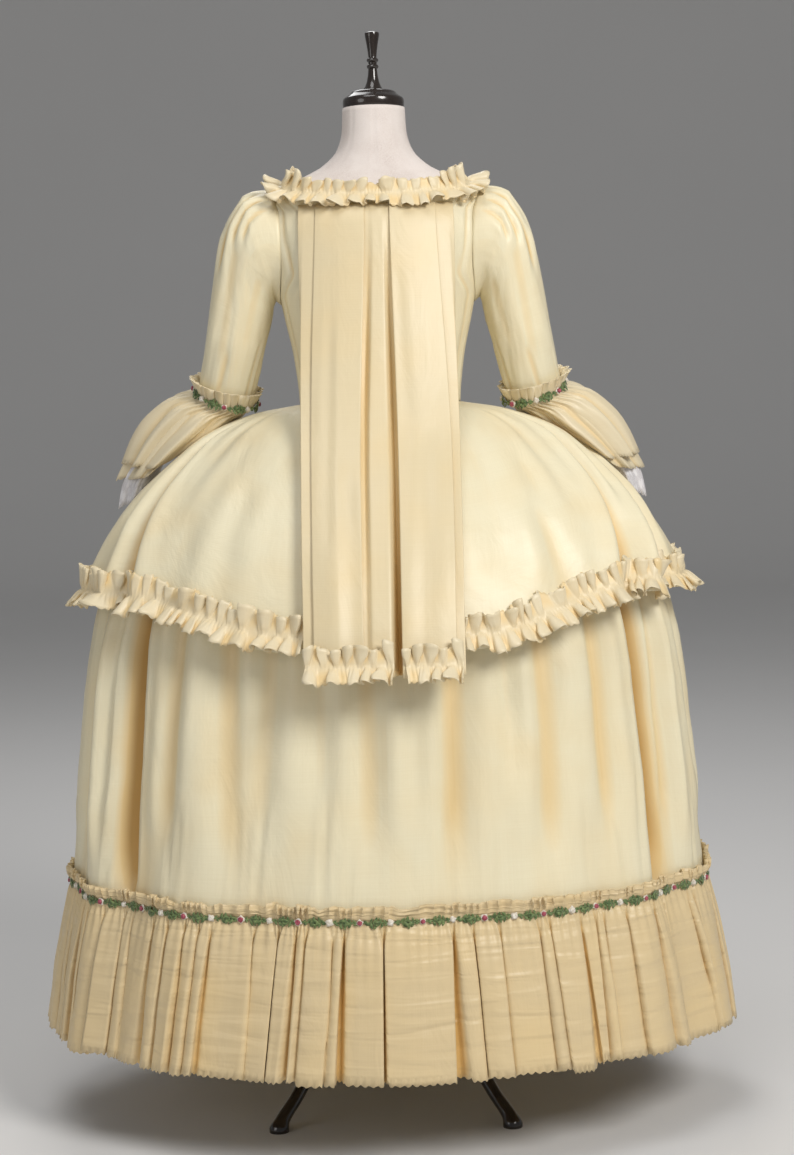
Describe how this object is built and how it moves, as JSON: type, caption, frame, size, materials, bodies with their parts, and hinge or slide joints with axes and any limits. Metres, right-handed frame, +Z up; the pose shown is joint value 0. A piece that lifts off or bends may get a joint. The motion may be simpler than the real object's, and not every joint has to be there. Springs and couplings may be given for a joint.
{
  "type": "robe a la francaise on a dress form",
  "caption": "Eighteenth-century style silk gown with a pleated train from the neck, elbow ruffles and a flounced petticoat, worn by a limbless dress form on a stand.",
  "frame": {"origin": "on the floor, on the axis of the stand's pole, under the middle of the gown", "axes": "+Z up; the wearer faces -Y, so the train falls on the +Y side; +X is the wearer's left"},
  "size_m": [1.099, 0.8499, 1.664],
  "materials": {
    "silk": "crisp butter-cream silk taffeta with a soft sheen",
    "lace": "matte white cotton lace",
    "braid": "green ribbon braid with small white and red roses",
    "form_cloth": "matte off-white cotton cover",
    "black_wood": "gloss black lacquered turned wood"
  },
  "bodies": {
    "root": {"bodice_back": "silk", "bodice_front_left": "silk", "bodice_front_right": "silk", "cuff_braid_left": "braid", "cuff_braid_right": "braid", "elbow_lace_left": "lace", "elbow_lace_right": "lace", "elbow_ruffle_lower_left": "silk", "elbow_ruffle_lower_right": "silk", "elbow_ruffle_upper_left": "silk", "elbow_ruffle_upper_right": "silk", "form_cap": "black_wood", "form_finial": "black_wood", "form_hub": "black_wood", "form_leg_1": "black_wood", "form_leg_2": "black_wood", "form_leg_3": "black_wood", "form_leg_4": "black_wood", "form_pole": "black_wood", "form_torso": "form_cloth", "front_frill_left": "silk", "front_frill_right": "silk", "neck_frill": "silk", "peplum_frill_left": "silk", "peplum_frill_right": "silk", "peplum_left": "silk", "peplum_right": "silk", "petticoat": "silk", "petticoat_braid": "braid", "petticoat_flounce": "silk", "sleeve_left": "silk", "sleeve_right": "silk", "stomacher": "silk", "train": "silk", "train_frill_left": "silk", "train_frill_right": "silk"}
  },
  "joints": []
}
